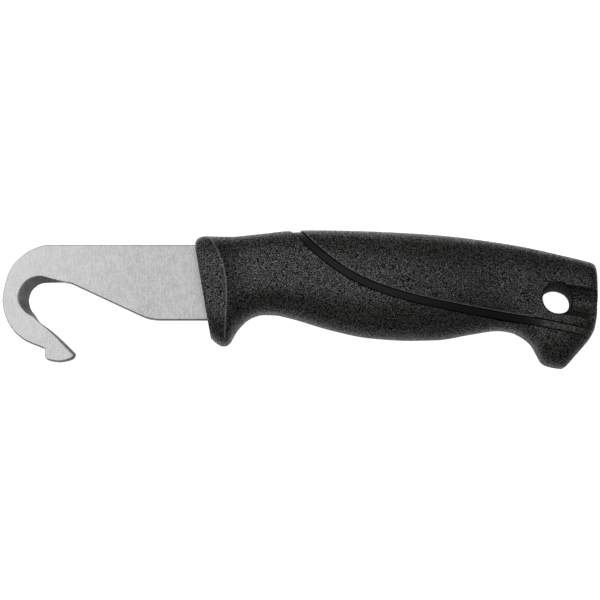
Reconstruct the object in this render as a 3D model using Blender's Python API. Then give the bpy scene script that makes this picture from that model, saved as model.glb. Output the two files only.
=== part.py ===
"""Hook knife: a flat stainless blade curled into a hook, in a two-shot moulded handle.

The knife lies on its side.  X runs along it from the hook (-X) to the pommel (+X),
+Y points to the spine and +Z up through its thickness.  All dimensions are millimetres
measured from the mid-plane, and mesh coordinates are converted to metres at the end.
"""
import math

import bmesh
import bpy
import numpy as np
from mathutils import Matrix, Vector

MM = 0.001
GAP = 0.3                     # clearance between neighbouring pieces

# ---- placement -------------------------------------------------------------------------
REST_HEIGHT = 11.0            # mid-plane above the surface the knife lies on
CENTRE_X = -0.25              # middle of the whole length, in design coordinates
CENTRE_Y = 0.1                # middle of the whole height, in design coordinates

# ---- blade -----------------------------------------------------------------------------
BLADE_THICKNESS = 2.5
SPINE_Y = 16.7
EDGE_Y = -6.2
EDGE_BREAK = 0.25             # small chamfer all round the stamped blank
SHARP_EDGE = 0.12             # thickness left at the ground edge
GROUND_WIDTH = 3.5            # widest place of the ground crescent inside the hook
SHOULDER_X = -24.0            # where the full-height blade ends inside the guard
TANG_END_X = 36.0
TANG_HOLE_X = 26.0
TANG_HOLE_RADIUS = 2.5

# ---- handle ----------------------------------------------------------------------------
FRONT_X = -28.7               # guard face where it crosses Y = 0
REAR_X = 88.7
GUARD_LEAN = 0.172            # slope of the guard face, mm of X per mm of Y
LEAN_END_X = -8.0             # sections behind this stand upright
RIDGE_X = FRONT_X + 4.0       # crease of the guard collar at top and bottom
RIDGE_BULGE = 3.3             # how far the crease bows backwards at mid height
RIDGE_SKEW = 0.55             # how much more it bows on the spine side
COLLAR_FADE = 6.5             # length over which the collar flows into the body
CORE_DEPTH = 2.2              # grip wall outside the core
RIB_RECESS = 0.6              # the rib lies this far below the grips
RIB_FLUSH = 0.15              # and this far on the pommel, where it comes up
RIB_RISE = (69.5, 73.5)       # stretch over which it comes up
BAND_WIDTH = 2.5              # between the two grips, across the rib

# ---- hang hole and lanyard gutter --------------------------------------------------------
HOLE_X, HOLE_Y = 76.7, -0.75
HOLE_RADIUS = 4.65            # at the two faces
HOLE_WAIST_RADIUS = 4.2       # at the mid-plane, where the mould pins meet
GUTTER_SLOPE = math.radians(-9.2)
GUTTER_HALF_WIDTH = 4.5
GUTTER_DEPTH = 3.1

RING_POINTS = 32              # points round a handle section
HOLE_POINTS = 36


# ======================================================================================
# curves
# ======================================================================================
def smooth_line(points):
    """A smooth function y(x) through points that never overshoots between them."""
    xs, ys = np.array(points, float).T
    step = np.diff(xs)
    slope = np.diff(ys) / step
    tangent = np.empty(len(xs))
    tangent[0], tangent[-1] = slope[0], slope[-1]
    for i in range(1, len(xs) - 1):
        left, right = slope[i - 1], slope[i]
        if left * right <= 0.0:
            tangent[i] = 0.0
        else:
            weight_left = 2.0 * step[i] + step[i - 1]
            weight_right = step[i] + 2.0 * step[i - 1]
            tangent[i] = (weight_left + weight_right) / (weight_left / left + weight_right / right)

    def value(x):
        x = min(max(x, xs[0]), xs[-1])
        i = min(int(np.searchsorted(xs, x, side="right")) - 1, len(xs) - 2)
        t = (x - xs[i]) / step[i]
        rise = t * t * (3.0 - 2.0 * t)
        return (ys[i] * (1.0 - rise) + ys[i + 1] * rise
                + step[i] * (t * (1.0 - t) ** 2 * tangent[i] - t * t * (1.0 - t) * tangent[i + 1]))

    return value


def curve_through(points, spacing):
    """Points about `spacing` apart on a smooth open curve through the given points."""
    fixed = [Vector(p) for p in points]
    fixed.insert(0, 2.0 * fixed[0] - fixed[1])
    fixed.append(2.0 * fixed[-1] - fixed[-2])
    result = []
    for before, start, end, after in zip(fixed, fixed[1:], fixed[2:], fixed[3:]):
        count = max(2, round((end - start).length / spacing))
        for k in range(count):
            t = k / count
            result.append(0.5 * (2.0 * start + (end - before) * t
                                 + (2.0 * before - 5.0 * start + 4.0 * end - after) * t * t
                                 + (3.0 * start - before - 3.0 * end + after) * t ** 3))
    result.append(fixed[-2])
    return [(p.x, p.y) for p in result]


def smoothstep(x):
    x = min(max(x, 0.0), 1.0)
    return x * x * (3.0 - 2.0 * x)


# ======================================================================================
# meshes
# ======================================================================================
def new_object(name, bm, material, origin):
    """Turn a bmesh in design millimetres into a metre-sized object with its own origin."""
    bmesh.ops.translate(bm, verts=bm.verts, vec=-Vector(origin))
    bmesh.ops.scale(bm, verts=bm.verts, vec=(MM, MM, MM))
    bmesh.ops.triangulate(bm, faces=bm.faces)
    bmesh.ops.recalc_face_normals(bm, faces=bm.faces)
    mesh = bpy.data.meshes.new(name)
    bm.to_mesh(mesh)
    bm.free()
    piece = bpy.data.objects.new(name, mesh)
    piece.location = Vector(origin) * MM
    bpy.context.scene.collection.objects.link(piece)
    if material is not None:
        mesh.materials.append(material)
    return piece


def prism(outline, low, high):
    """A closed outline in XY, given thickness from low to high."""
    bm = bmesh.new()
    floor = bm.faces.new([bm.verts.new((x, y, low)) for x, y in outline])
    wall = bmesh.ops.extrude_face_region(bm, geom=[floor])["geom"]
    raised = [v for v in wall if isinstance(v, bmesh.types.BMVert)]
    bmesh.ops.translate(bm, verts=raised, vec=(0.0, 0.0, high - low))
    return bm


def loft(rings):
    """A closed body through rings of equal length, with flat ends."""
    bm = bmesh.new()
    rows = [[bm.verts.new(p) for p in ring] for ring in rings]
    for row, following in zip(rows, rows[1:]):
        for j in range(len(row)):
            k = (j + 1) % len(row)
            bm.faces.new((row[j], row[k], following[k], following[j]))
    bm.faces.new(rows[0])
    bm.faces.new(rows[-1])
    return bm


def cylinder(radius, length, placement, segments=40):
    bm = bmesh.new()
    bmesh.ops.create_cone(bm, cap_ends=True, segments=segments, radius1=radius, radius2=radius,
                          depth=length, matrix=placement)
    return bm


def cutter(name, bm, frame):
    """A hidden tool that other pieces subtract or keep."""
    tool = new_object(name, bm, None, (0.0, 0.0, 0.0))
    tool.parent = frame
    tool.hide_render = True
    tool.display_type = "WIRE"
    return tool


def combine(piece, tool, operation):
    modifier = piece.modifiers.new(f"{operation.lower()}_{tool.name}", "BOOLEAN")
    modifier.operation = operation
    modifier.object = tool


def make_material(name, colour, roughness, metallic):
    material = bpy.data.materials.new(name)
    material.use_nodes = True
    shader = material.node_tree.nodes["Principled BSDF"]
    shader.inputs["Base Color"].default_value = (*colour, 1.0)
    shader.inputs["Roughness"].default_value = roughness
    shader.inputs["Metallic"].default_value = metallic
    return material


# ======================================================================================
# blade
# ======================================================================================
# Outer sweep of the hook, from the end of the straight spine round to the notch behind
# the foot.
HOOK_BACK = [(-73.5, SPINE_Y), (-77.5, 16.4), (-82.5, 14.15), (-86.9, 9.5), (-88.9, 3.0),
             (-89.0, -2.2), (-86.9, -7.8), (-82.9, -11.9), (-77.4, -14.4)]
# Notch, blunt rounded foot, and round nose of the hook.
HOOK_FOOT = [(-76.4, -14.9), (-76.15, -15.9), (-76.2, -17.0), (-75.6, -18.0), (-74.1, -18.55),
             (-71.7, -18.85), (-69.3, -18.5), (-67.7, -17.9), (-66.8, -16.9), (-67.4, -15.9)]
# Inner side of the nose, up to where the sharpened curl starts.
HOOK_THROAT = [(-69.8, -13.45), (-72.4, -11.0), (-74.9, -8.95), (-77.8, -6.85)]
# Sharpened inside of the curl.
HOOK_EDGE = [(-79.15, -4.8), (-80.5, -3.1), (-81.15, -1.2), (-81.2, 0.5), (-80.5, 2.6),
             (-79.2, 4.05), (-77.6, 4.95), (-75.5, 5.2), (-73.0, 5.25), (-70.5, 5.2)]
# Blunt underside: a soft corner, the straight slant, a soft corner, the level lower edge.
UNDERSIDE = [(-68.6, 4.85), (-66.8, 4.05), (-48.0, -4.75), (-45.6, -5.7), (-43.4, -6.1),
             (-41.5, EDGE_Y)]
# Share of the ground crescent's full width along the sharpened curl.
GROUND_PROFILE = smooth_line([(0.0, 0.07), (0.10, 0.40), (0.25, 0.86), (0.40, 1.0),
                              (0.58, 0.92), (0.72, 0.50), (0.86, 0.22), (1.0, 0.07)])


def tang_outline():
    """Shoulders and stick tang, from the lower shoulder round to the upper one."""
    low_root, high_root = 1.5, 12.5
    low_end, high_end = 0.6, 8.4
    fillet = 1.5
    end_radius = (high_end - low_end) / 2.0
    end_middle = (high_end + low_end) / 2.0
    points = [(SHOULDER_X, EDGE_Y), (SHOULDER_X, low_root - fillet)]
    for k in range(1, 4):
        angle = math.radians(30.0 * k)
        points.append((SHOULDER_X + fillet * (1.0 - math.cos(angle)),
                       low_root - fillet + fillet * math.sin(angle)))
    for k in range(9):
        angle = math.radians(-90.0 + 22.5 * k)
        points.append((TANG_END_X - end_radius + end_radius * math.cos(angle),
                       end_middle + end_radius * math.sin(angle)))
    for k in range(3):
        angle = math.radians(90.0 - 30.0 * k)
        points.append((SHOULDER_X + fillet * (1.0 - math.cos(angle)),
                       high_root + fillet - fillet * math.sin(angle)))
    points.append((SHOULDER_X, high_root + fillet))
    points.append((SHOULDER_X, SPINE_Y))
    return points


def blade_outline():
    """The closed silhouette with, at each point, how far the grinding reaches inwards."""
    back = curve_through(HOOK_BACK, 1.2)
    foot = curve_through([HOOK_BACK[-1]] + HOOK_FOOT, 0.7)[1:]
    throat = curve_through([HOOK_FOOT[-1]] + HOOK_THROAT, 1.2)[1:]
    edge = curve_through([HOOK_THROAT[-1]] + HOOK_EDGE, 0.7)[1:]
    under = curve_through([HOOK_EDGE[-1]] + UNDERSIDE[:2], 1.0)[1:] + UNDERSIDE[2:]
    outline = [(p, EDGE_BREAK) for p in back + foot + throat]
    for k, point in enumerate(edge):
        share = GROUND_PROFILE((k + 1) / len(edge))
        outline.append((point, GROUND_WIDTH * share))
    outline += [(p, EDGE_BREAK) for p in under + tang_outline()]
    return outline


def inward_normals(points):
    """Unit vectors into the blade at each point of a silhouette that runs anticlockwise."""
    normals = []
    for i, point in enumerate(points):
        before, after = Vector(points[i - 1]), Vector(points[(i + 1) % len(points)])
        first = (Vector(point) - before).normalized()
        second = (after - Vector(point)).normalized()
        tangent = (first + second).normalized()
        mitre = max(tangent.dot(first), 0.5)
        normals.append(Vector((-tangent.y, tangent.x)) / mitre)
    return normals


def blade_body():
    """Two flat faces joined by a chamfer, which widens into the ground crescent."""
    outline = blade_outline()
    points = [point for point, _ in outline]
    half = BLADE_THICKNESS / 2.0
    faces, rims = [], []
    for (point, reach), normal in zip(outline, inward_normals(points)):
        faces.append(Vector(point) + normal * reach)
        ground = smoothstep((reach - EDGE_BREAK) / (0.4 * GROUND_WIDTH))
        rims.append((half - EDGE_BREAK) * (1.0 - ground) + SHARP_EDGE / 2.0 * ground)
    rings = [[(p.x, p.y, half) for p in faces],
             [(x, y, rim) for (x, y), rim in zip(points, rims)],
             [(x, y, -rim) for (x, y), rim in zip(points, rims)],
             [(p.x, p.y, -half) for p in faces]]
    return loft(rings)


def make_blade(frame):
    steel = make_material("stainless_steel", (0.62, 0.62, 0.63), 0.35, 1.0)
    blade = new_object("blade", blade_body(), steel, (SHOULDER_X, 0.0, 0.0))
    blade.parent = frame
    lock_hole = cutter("lock_hole_cutter",
                       cylinder(TANG_HOLE_RADIUS, 2.0 * BLADE_THICKNESS,
                                Matrix.Translation((TANG_HOLE_X, 4.6, 0.0)), 24), frame)
    combine(blade, lock_hole, "DIFFERENCE")
    return blade


# ======================================================================================
# handle surface
# ======================================================================================
# Spine side of the handle, from the guard to the rear end.
TOP_LINE = smooth_line([(FRONT_X, 16.3), (-28.4, 17.3), (-27.9, 18.0), (-27.2, 18.5),
                        (-26.2, 18.9), (-24.5, 19.0), (-19.0, 18.95), (-12.0, 19.7),
                        (-5.0, 20.55), (2.0, 20.9), (8.0, 20.85), (20.0, 20.6), (33.0, 20.0),
                        (45.0, 19.1), (57.0, 17.5), (69.0, 15.35), (78.0, 13.3), (85.0, 11.55),
                        (87.2, 10.9), (88.1, 10.3), (88.5, 9.5), (REAR_X, 8.3)])
# Belly side: chamfered guard tip, finger bay, belly, little-finger bay, pommel hook and
# the slanted heel up to the rear end.
BOTTOM_LINE = smooth_line([(FRONT_X, -11.2), (-27.9, -12.3), (-26.9, -13.15), (-25.7, -13.75),
                           (-24.6, -13.7), (-23.3, -13.0), (-21.5, -10.9), (-19.9, -9.0),
                           (-18.3, -7.6), (-16.8, -6.4), (-14.0, -4.95), (-11.0, -4.3),
                           (-7.5, -4.4), (-3.0, -5.35), (9.0, -8.9), (21.0, -11.4),
                           (33.0, -12.15), (41.0, -12.0), (51.0, -10.4), (59.5, -9.2),
                           (63.0, -9.6), (66.0, -10.9), (69.2, -13.5), (71.3, -17.3),
                           (72.2, -18.9), (73.7, -19.8), (77.0, -20.6), (78.2, -20.7),
                           (79.4, -20.0), (82.0, -17.2), (85.0, -13.8), (87.1, -11.1),
                           (88.0, -8.8), (88.5, -5.6), (REAR_X, -2.0)])
BODY_HALF_WIDTH = smooth_line([(FRONT_X, 8.8), (-18.0, 8.9), (-8.0, 9.6), (10.0, 10.8),
                               (28.0, 11.0), (45.0, 10.2), (60.0, 8.9), (72.0, 8.5),
                               (84.0, 8.5), (87.0, 8.3), (88.0, 7.8), (88.5, 7.2), (REAR_X, 6.4)])
COLLAR_HALF_WIDTH = smooth_line([(FRONT_X, 8.7), (-28.4, 9.2), (-28.0, 9.35), (RIDGE_X, 9.75)])
COLLAR_SQUARENESS = 3.4
BODY_SQUARENESS = smooth_line([(-20.0, 3.0), (10.0, 2.8), (50.0, 2.7), (72.0, 3.4), (REAR_X, 3.4)])


def collar_share(station):
    """1 in the guard collar, fading concavely to 0 in the body behind its crease."""
    if station <= RIDGE_X:
        return 1.0
    return max(0.0, 1.0 - (station - RIDGE_X) / COLLAR_FADE) ** 2


def handle_ring(station, inset=0.0):
    """Closed section of the handle at a station, shrunk all round by inset."""
    collar = collar_share(station)
    top, bottom = TOP_LINE(station) - inset, BOTTOM_LINE(station) + inset
    middle, half_height = (top + bottom) / 2.0, (top - bottom) / 2.0
    body = BODY_HALF_WIDTH(station)
    half_width = body + (COLLAR_HALF_WIDTH(station) - body) * collar - inset
    body_squareness = BODY_SQUARENESS(station)
    power = 2.0 / (body_squareness + (COLLAR_SQUARENESS - body_squareness) * collar)
    lean = GUARD_LEAN * (1.0 - smoothstep((station - RIDGE_X) / (LEAN_END_X - RIDGE_X)))
    if station <= RIDGE_X:
        bulge = RIDGE_BULGE * (station - FRONT_X) / (RIDGE_X - FRONT_X)
    else:
        bulge = RIDGE_BULGE * (1.0 - smoothstep((station - RIDGE_X) / (2.0 * COLLAR_FADE)))
    ring = []
    for j in range(RING_POINTS):
        angle = 2.0 * math.pi * j / RING_POINTS
        rise, side = math.cos(angle), math.sin(angle)
        level = math.copysign(abs(rise) ** power, rise)
        y = middle + half_height * level
        z = half_width * math.copysign(abs(side) ** power, side)
        bow = bulge * (1.0 - level * level) * (1.0 + RIDGE_SKEW * level)
        ring.append((station - lean * y + bow, y, z))
    return ring


def handle_stations():
    """Station positions, close together where the outline turns quickly."""
    zones = [(FRONT_X, -28.0, 2), (-28.0, RIDGE_X, 3), (RIDGE_X, -17.0, 7), (-17.0, -8.0, 4),
             (-8.0, 58.0, 14), (58.0, 66.0, 3), (66.0, 74.0, 7), (74.0, 80.0, 5),
             (80.0, 87.0, 3), (87.0, 88.0, 2), (88.0, REAR_X, 2)]
    stations = [FRONT_X]
    for start, end, count in zones:
        stations += [start + (end - start) * (k + 1) / count for k in range(count)]
    return stations


def handle_outer(depth=lambda station: 0.0):
    return loft([handle_ring(s, depth(s)) for s in handle_stations()])


def rib_depth(station):
    start, end = RIB_RISE
    return RIB_RECESS + (RIB_FLUSH - RIB_RECESS) * smoothstep((station - start) / (end - start))


# ======================================================================================
# dividing band
# ======================================================================================
# Middle line of the band: over the spine just behind the thumb, down across the side and
# along to the rear end.
BAND_LINE = [(-6.5, 26.0), (-0.6, 19.6), (4.0, 14.4), (10.0, 9.2), (16.5, 5.0), (24.0, 1.7),
             (34.0, -1.3), (45.0, -3.6), (57.0, -5.6), (69.0, -7.7), (80.0, -9.9), (94.0, -12.8)]


def band_side(offset):
    """The band's middle line moved sideways by offset, positive towards the back grip."""
    line = [Vector(p) for p in curve_through(BAND_LINE, 3.0)]
    side = []
    for i, point in enumerate(line):
        along = (line[min(i + 1, len(line) - 1)] - line[max(i - 1, 0)]).normalized()
        side.append(point + Vector((-along.y, along.x)) * offset)
    return [(p.x, p.y) for p in side]


def band_strip(width):
    return band_side(-width / 2.0) + band_side(width / 2.0)[::-1]


# ======================================================================================
# handle core
# ======================================================================================
CORE_FRONT_X = SHOULDER_X + GAP
CORE_REAR_X = 66.0
CORE_STATIONS = 14
CORE_RING_POINTS = 20
CORE_TOP = smooth_line([(-24.5, 14.6), (-12.0, 16.6), (2.0, 18.3), (20.0, 18.0), (45.0, 16.4),
                        (60.0, 13.6), (67.0, 11.0)])
CORE_BOTTOM = smooth_line([(-24.5, -1.6), (-11.0, -1.2), (9.0, -5.6), (30.0, -9.2),
                           (45.0, -8.2), (67.0, -5.8)])


def core_loft(grow):
    """The solid middle of the core, grown all round by grow."""
    rings = []
    count = CORE_STATIONS
    start, end = CORE_FRONT_X - grow, CORE_REAR_X + grow
    for i in range(count + 1):
        x = start + (end - start) * i / count
        top, bottom = CORE_TOP(x) + grow, CORE_BOTTOM(x) - grow
        middle, half_height = (top + bottom) / 2.0, (top - bottom) / 2.0
        half_width = BODY_HALF_WIDTH(x) - CORE_DEPTH + grow
        ring = []
        for j in range(CORE_RING_POINTS):
            angle = 2.0 * math.pi * j / CORE_RING_POINTS
            ring.append((x, middle + half_height * math.cos(angle), half_width * math.sin(angle)))
        rings.append(ring)
    return loft(rings)


def grown_outline(points, grow):
    """An anticlockwise outline pushed outwards by grow."""
    return [tuple(Vector(p) - n * grow) for p, n in zip(points, inward_normals(points))]


def make_core(frame):
    plastic = make_material("core_plastic", (0.02, 0.02, 0.02), 0.45, 0.0)
    core = new_object("handle_core", core_loft(0.0), plastic, (CORE_FRONT_X, 0.0, 0.0))
    core.parent = frame
    rib = cutter("rib_body", handle_outer(rib_depth), frame)
    strip = cutter("rib_strip", prism(band_strip(BAND_WIDTH - 2.0 * GAP), -20.0, 20.0), frame)
    combine(rib, strip, "INTERSECT")
    combine(core, rib, "UNION")
    half_slot = BLADE_THICKNESS / 2.0 + GAP
    tang = cutter("tang_cavity", prism(grown_outline(tang_outline(), GAP), -half_slot, half_slot),
                  frame)
    pin = cutter("lock_pin", cylinder(TANG_HOLE_RADIUS - GAP, 2.0 * BLADE_THICKNESS + 2.0,
                                      Matrix.Translation((TANG_HOLE_X, 4.6, 0.0)), 24), frame)
    combine(tang, pin, "DIFFERENCE")
    combine(core, tang, "DIFFERENCE")
    return core


# ======================================================================================
# grips
# ======================================================================================
def make_front_grip(frame):
    """Guard, belly and pommel hook: everything below the band."""
    rubber = make_material("front_rubber", (0.03, 0.03, 0.03), 0.6, 0.0)
    grip = new_object("front_grip", handle_outer(), rubber, (FRONT_X, 0.0, 0.0))
    grip.parent = frame
    outline = band_side(-BAND_WIDTH / 2.0) + [(94.0, -30.0), (-40.0, -30.0), (-40.0, 30.0)]
    region = cutter("front_region", prism(outline, -20.0, 20.0), frame)
    combine(grip, region, "INTERSECT")
    combine(grip, cutter("front_core_room", core_loft(GAP), frame), "DIFFERENCE")
    slot = [(-40.0, EDGE_Y - GAP), (CORE_FRONT_X - 0.05, EDGE_Y - GAP),
            (CORE_FRONT_X - 0.05, SPINE_Y + GAP), (-40.0, SPINE_Y + GAP)]
    half_slot = BLADE_THICKNESS / 2.0 + GAP
    combine(grip, cutter("blade_slot", prism(slot, -half_slot, half_slot), frame), "DIFFERENCE")
    return grip


def hang_hole():
    """Hourglass cutter: the hole tapers from both faces to its waist at the mid-plane."""
    face = BODY_HALF_WIDTH(HOLE_X)
    taper = (HOLE_RADIUS - HOLE_WAIST_RADIUS) / face
    rings = []
    for z in (-1.5 * face, 0.0, 1.5 * face):
        radius = HOLE_WAIST_RADIUS + taper * abs(z)
        turns = [2.0 * math.pi * j / HOLE_POINTS for j in range(HOLE_POINTS)]
        rings.append([(HOLE_X + radius * math.cos(a), HOLE_Y + radius * math.sin(a), z)
                      for a in turns])
    return loft(rings)


def make_back_grip(frame):
    """Thumb side of the handle, with the hang hole and its gutters."""
    rubber = make_material("back_rubber", (0.03, 0.03, 0.03), 0.6, 0.0)
    grip = new_object("back_grip", handle_outer(), rubber, (HOLE_X, HOLE_Y, 0.0))
    grip.parent = frame
    outline = band_side(BAND_WIDTH / 2.0) + [(94.0, 30.0)]
    region = cutter("back_region", prism(outline, -20.0, 20.0), frame)
    combine(grip, region, "INTERSECT")
    combine(grip, cutter("back_core_room", core_loft(GAP), frame), "DIFFERENCE")
    combine(grip, cutter("hang_hole", hang_hole(), frame), "DIFFERENCE")
    gutter_radius = (GUTTER_HALF_WIDTH ** 2 + GUTTER_DEPTH ** 2) / (2.0 * GUTTER_DEPTH)
    surface = BODY_HALF_WIDTH(HOLE_X)
    length = 30.0
    for name, side in (("upper_gutter", 1.0), ("lower_gutter", -1.0)):
        axis_height = side * (surface - GUTTER_DEPTH + gutter_radius)
        placement = (Matrix.Translation((HOLE_X, HOLE_Y, axis_height))
                     @ Matrix.Rotation(GUTTER_SLOPE, 4, "Z")
                     @ Matrix.Translation((length / 2.0, 0.0, 0.0))
                     @ Matrix.Rotation(math.radians(90.0), 4, "Y"))
        combine(grip, cutter(name, cylinder(gutter_radius, length, placement, 32), frame),
                "DIFFERENCE")
    return grip


# ======================================================================================
# assembly
# ======================================================================================
def main():
    for existing in list(bpy.data.objects):
        bpy.data.objects.remove(existing, do_unlink=True)
    frame = bpy.data.objects.new("knife_mid_plane", None)
    frame.location = Vector((-CENTRE_X, -CENTRE_Y, REST_HEIGHT)) * MM
    bpy.context.scene.collection.objects.link(frame)
    make_blade(frame)
    make_core(frame)
    make_front_grip(frame)
    make_back_grip(frame)


main()
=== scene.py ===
"""Hook knife lying on a pale floor in soft studio light.

Every piece is drawn in design millimetres measured from the knife's mid-plane: X runs
from the hook (-X) to the pommel (+X), +Y points to the spine, +Z up through the
thickness.  Objects sit at the design origin and their meshes are in metres.
"""
import math

import bmesh
import bpy
import numpy as np
from mathutils import Matrix, Vector


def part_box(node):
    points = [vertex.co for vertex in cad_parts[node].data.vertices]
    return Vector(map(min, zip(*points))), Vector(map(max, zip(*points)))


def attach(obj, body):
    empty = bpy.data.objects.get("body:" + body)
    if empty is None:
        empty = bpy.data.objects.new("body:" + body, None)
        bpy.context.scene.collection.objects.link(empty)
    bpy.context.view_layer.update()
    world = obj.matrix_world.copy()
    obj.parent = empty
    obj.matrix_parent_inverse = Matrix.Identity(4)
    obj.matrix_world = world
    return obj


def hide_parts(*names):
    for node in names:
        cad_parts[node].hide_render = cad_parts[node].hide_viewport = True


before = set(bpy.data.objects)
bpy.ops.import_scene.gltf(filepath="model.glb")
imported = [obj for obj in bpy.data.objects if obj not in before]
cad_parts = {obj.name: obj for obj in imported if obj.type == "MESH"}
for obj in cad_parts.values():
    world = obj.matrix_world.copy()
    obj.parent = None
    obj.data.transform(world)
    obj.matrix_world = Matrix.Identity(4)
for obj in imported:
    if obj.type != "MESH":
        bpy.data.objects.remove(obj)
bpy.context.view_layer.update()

MM = 0.001
GAP = 0.3                     # clearance between neighbouring pieces
HAIR = 2e-4                   # points closer than this become one
BEYOND = 99.0                 # higher or lower than any part of the handle
ABOVE = 20.0                  # cutters end here, clear of the surface

# ---- placement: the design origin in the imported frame, which is centred on the knife ------
BLADE_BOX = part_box("blade")
ORIGIN = Vector((0.25 * MM, -0.1 * MM, (BLADE_BOX[0][2] + BLADE_BOX[1][2]) / 2.0))

# ---- blade ---------------------------------------------------------------------------------
BLADE_THICKNESS = 2.5
LEAST_BREAK = 0.2             # least reach and drop where an edge is broken
HALF_RIM = 0.06               # half the thickness left at the ground edge
SPINE_Y = 16.7
EDGE_Y = -6.2
SHOULDER_X = -24.0            # where the full-height blade ends inside the guard
TANG_END_X = 36.0
TANG_HOLE = (26.0, 4.6)
TANG_HOLE_RADIUS = 2.5

# ---- handle --------------------------------------------------------------------------------
FRONT_X = -28.7               # guard face where it crosses Y = 0
REAR_X = 88.68
GUARD_LEAN = 0.172            # slope of the guard face, mm of X per mm of Y
LEAN_END_X = -8.0             # sections behind this stand upright
RIDGE_X = FRONT_X + 4.0       # crease of the guard collar at top and bottom
RIDGE_BULGE = 3.3             # how far the crease bows backwards at mid height
RIDGE_SKEW = 0.55             # how much more it bows on the spine side
COLLAR_FADE = 8.5             # length over which the collar flows into the body
CORE_DEPTH = 2.2              # grip wall outside the core
RIB_RECESS = 0.5              # the rib lies this far below the grips
RIB_FLUSH = 0.06              # and this far on the pommel, where it comes up
RIB_RISE = (69.5, 73.5)       # stretch over which it comes up
BAND_WIDTH = 2.5              # between the two grips, across the rib
GRIP_EDGE = 0.22              # rounding of the grips along the band
RIB_EDGE = 0.25               # rounding of the rib
RIB_GAP = 0.14                # between the rib and the grips
LID_SHARES = (0.975, 0.90)    # rings inside a flat end, which keep its shading flat
GRIP_COLUMNS = 46             # points across the evenly spaced part of a grip
RIB_COLUMNS = 15              # points across the rib
RIDGE_HIGHLIGHT_REACH = 0.16             # reach of the gloss and painted highlight along the collar's crease
BORDER_HIGHLIGHT_REACH = 0.2             # reach of the gloss and painted highlight along the band
BLADE_SHARP_ANGLE = 30.0      # sharper edges than these stay crisp when shaded
HANDLE_SHARP_ANGLE = 38.0

# ---- hang hole and lanyard gutter ----------------------------------------------------------
HOLE_X, HOLE_Y = 76.7, -0.75
HOLE_RADIUS = 4.65            # at the two faces
HOLE_WAIST_RADIUS = 4.2       # at the mid-plane, where the mould pins meet
HOLE_RIM = 0.4                # rounding of the hole's rim
HOLE_POINTS = 72
GUTTER_SLOPE = math.radians(-9.2)
GUTTER_HALF_WIDTH = 4.5
GUTTER_DEPTH = 3.1
GUTTER_LENGTH = 17.0
GUTTER_UPPER_RIM = 0.35       # reach of the crisp rim on the spine side
GUTTER_LOWER_RIM = 1.3        # reach of the soft rim on the belly side
GUTTER_RIM_RANGE = (4.0, 5.4)  # the rims lie this far from the trough's middle line
SLIVER = 0.03                 # the cutters stop this far below the surface


# ============================================================================================
# curves
# ============================================================================================
def smooth_line(points):
    """A smooth function y(x) through points that never overshoots between them."""
    xs, ys = np.array(points, float).T
    step = np.diff(xs)
    slope = np.diff(ys) / step
    tangent = np.empty(len(xs))
    tangent[0], tangent[-1] = slope[0], slope[-1]
    for i in range(1, len(xs) - 1):
        left, right = slope[i - 1], slope[i]
        if left * right <= 0.0:
            tangent[i] = 0.0
        else:
            weight_left = 2.0 * step[i] + step[i - 1]
            weight_right = step[i] + 2.0 * step[i - 1]
            tangent[i] = (weight_left + weight_right) / (weight_left / left + weight_right / right)

    def value(x):
        x = min(max(x, xs[0]), xs[-1])
        i = min(int(np.searchsorted(xs, x, side="right")) - 1, len(xs) - 2)
        t = (x - xs[i]) / step[i]
        rise = t * t * (3.0 - 2.0 * t)
        return (ys[i] * (1.0 - rise) + ys[i + 1] * rise
                + step[i] * (t * (1.0 - t) ** 2 * tangent[i] - t * t * (1.0 - t) * tangent[i + 1]))

    return value


def curve_through(points, spacing):
    """Rows about `spacing` apart in XY on a smooth open curve through rows of numbers."""
    fixed = [np.array(p, float) for p in points]
    fixed.insert(0, 2.0 * fixed[0] - fixed[1])
    fixed.append(2.0 * fixed[-1] - fixed[-2])
    result = []
    for before, start, end, after in zip(fixed, fixed[1:], fixed[2:], fixed[3:]):
        count = max(2, round(float(np.linalg.norm((end - start)[:2])) / spacing))
        for k in range(count):
            t = k / count
            result.append(0.5 * (2.0 * start + (end - before) * t
                                 + (2.0 * before - 5.0 * start + 4.0 * end - after) * t * t
                                 + (3.0 * start - before - 3.0 * end + after) * t ** 3))
    result.append(fixed[-2])
    return np.array(result)


def smoothstep(x):
    x = min(max(x, 0.0), 1.0)
    return x * x * (3.0 - 2.0 * x)


def spread(zones):
    """Increasing numbers that cover (start, end, spacing) zones lying end to end."""
    values = [zones[0][0]]
    for start, end, spacing in zones:
        count = max(1, math.ceil((end - start) / spacing - 1e-6))
        values += [start + (end - start) * (k + 1) / count for k in range(count)]
    return values


def crossing(function, low, high):
    """Where a function changes sign between low and high."""
    sign_low = function(low) > 0.0
    for _ in range(60):
        middle = (low + high) / 2.0
        if (function(middle) > 0.0) == sign_low:
            low = middle
        else:
            high = middle
    return (low + high) / 2.0


# ============================================================================================
# meshes
# ============================================================================================
def new_object(name, bm):
    """Turn a bmesh in design millimetres into a metre-sized object at the design origin."""
    bmesh.ops.remove_doubles(bm, verts=bm.verts, dist=HAIR)
    bmesh.ops.dissolve_degenerate(bm, dist=HAIR / 2.0, edges=bm.edges)
    bmesh.ops.recalc_face_normals(bm, faces=bm.faces)
    bmesh.ops.scale(bm, verts=bm.verts, vec=(MM, MM, MM))
    mesh = bpy.data.meshes.new(name)
    bm.to_mesh(mesh)
    bm.free()
    piece = bpy.data.objects.new(name, mesh)
    piece.location = ORIGIN
    bpy.context.scene.collection.objects.link(piece)
    return piece


def prism(outline, low, high):
    """A closed outline in XY, given thickness from low to high."""
    bm = bmesh.new()
    floor = bm.faces.new([bm.verts.new((x, y, low)) for x, y in outline])
    wall = bmesh.ops.extrude_face_region(bm, geom=[floor])["geom"]
    raised = [v for v in wall if isinstance(v, bmesh.types.BMVert)]
    bmesh.ops.translate(bm, verts=raised, vec=(0.0, 0.0, high - low))
    return bm


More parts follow.
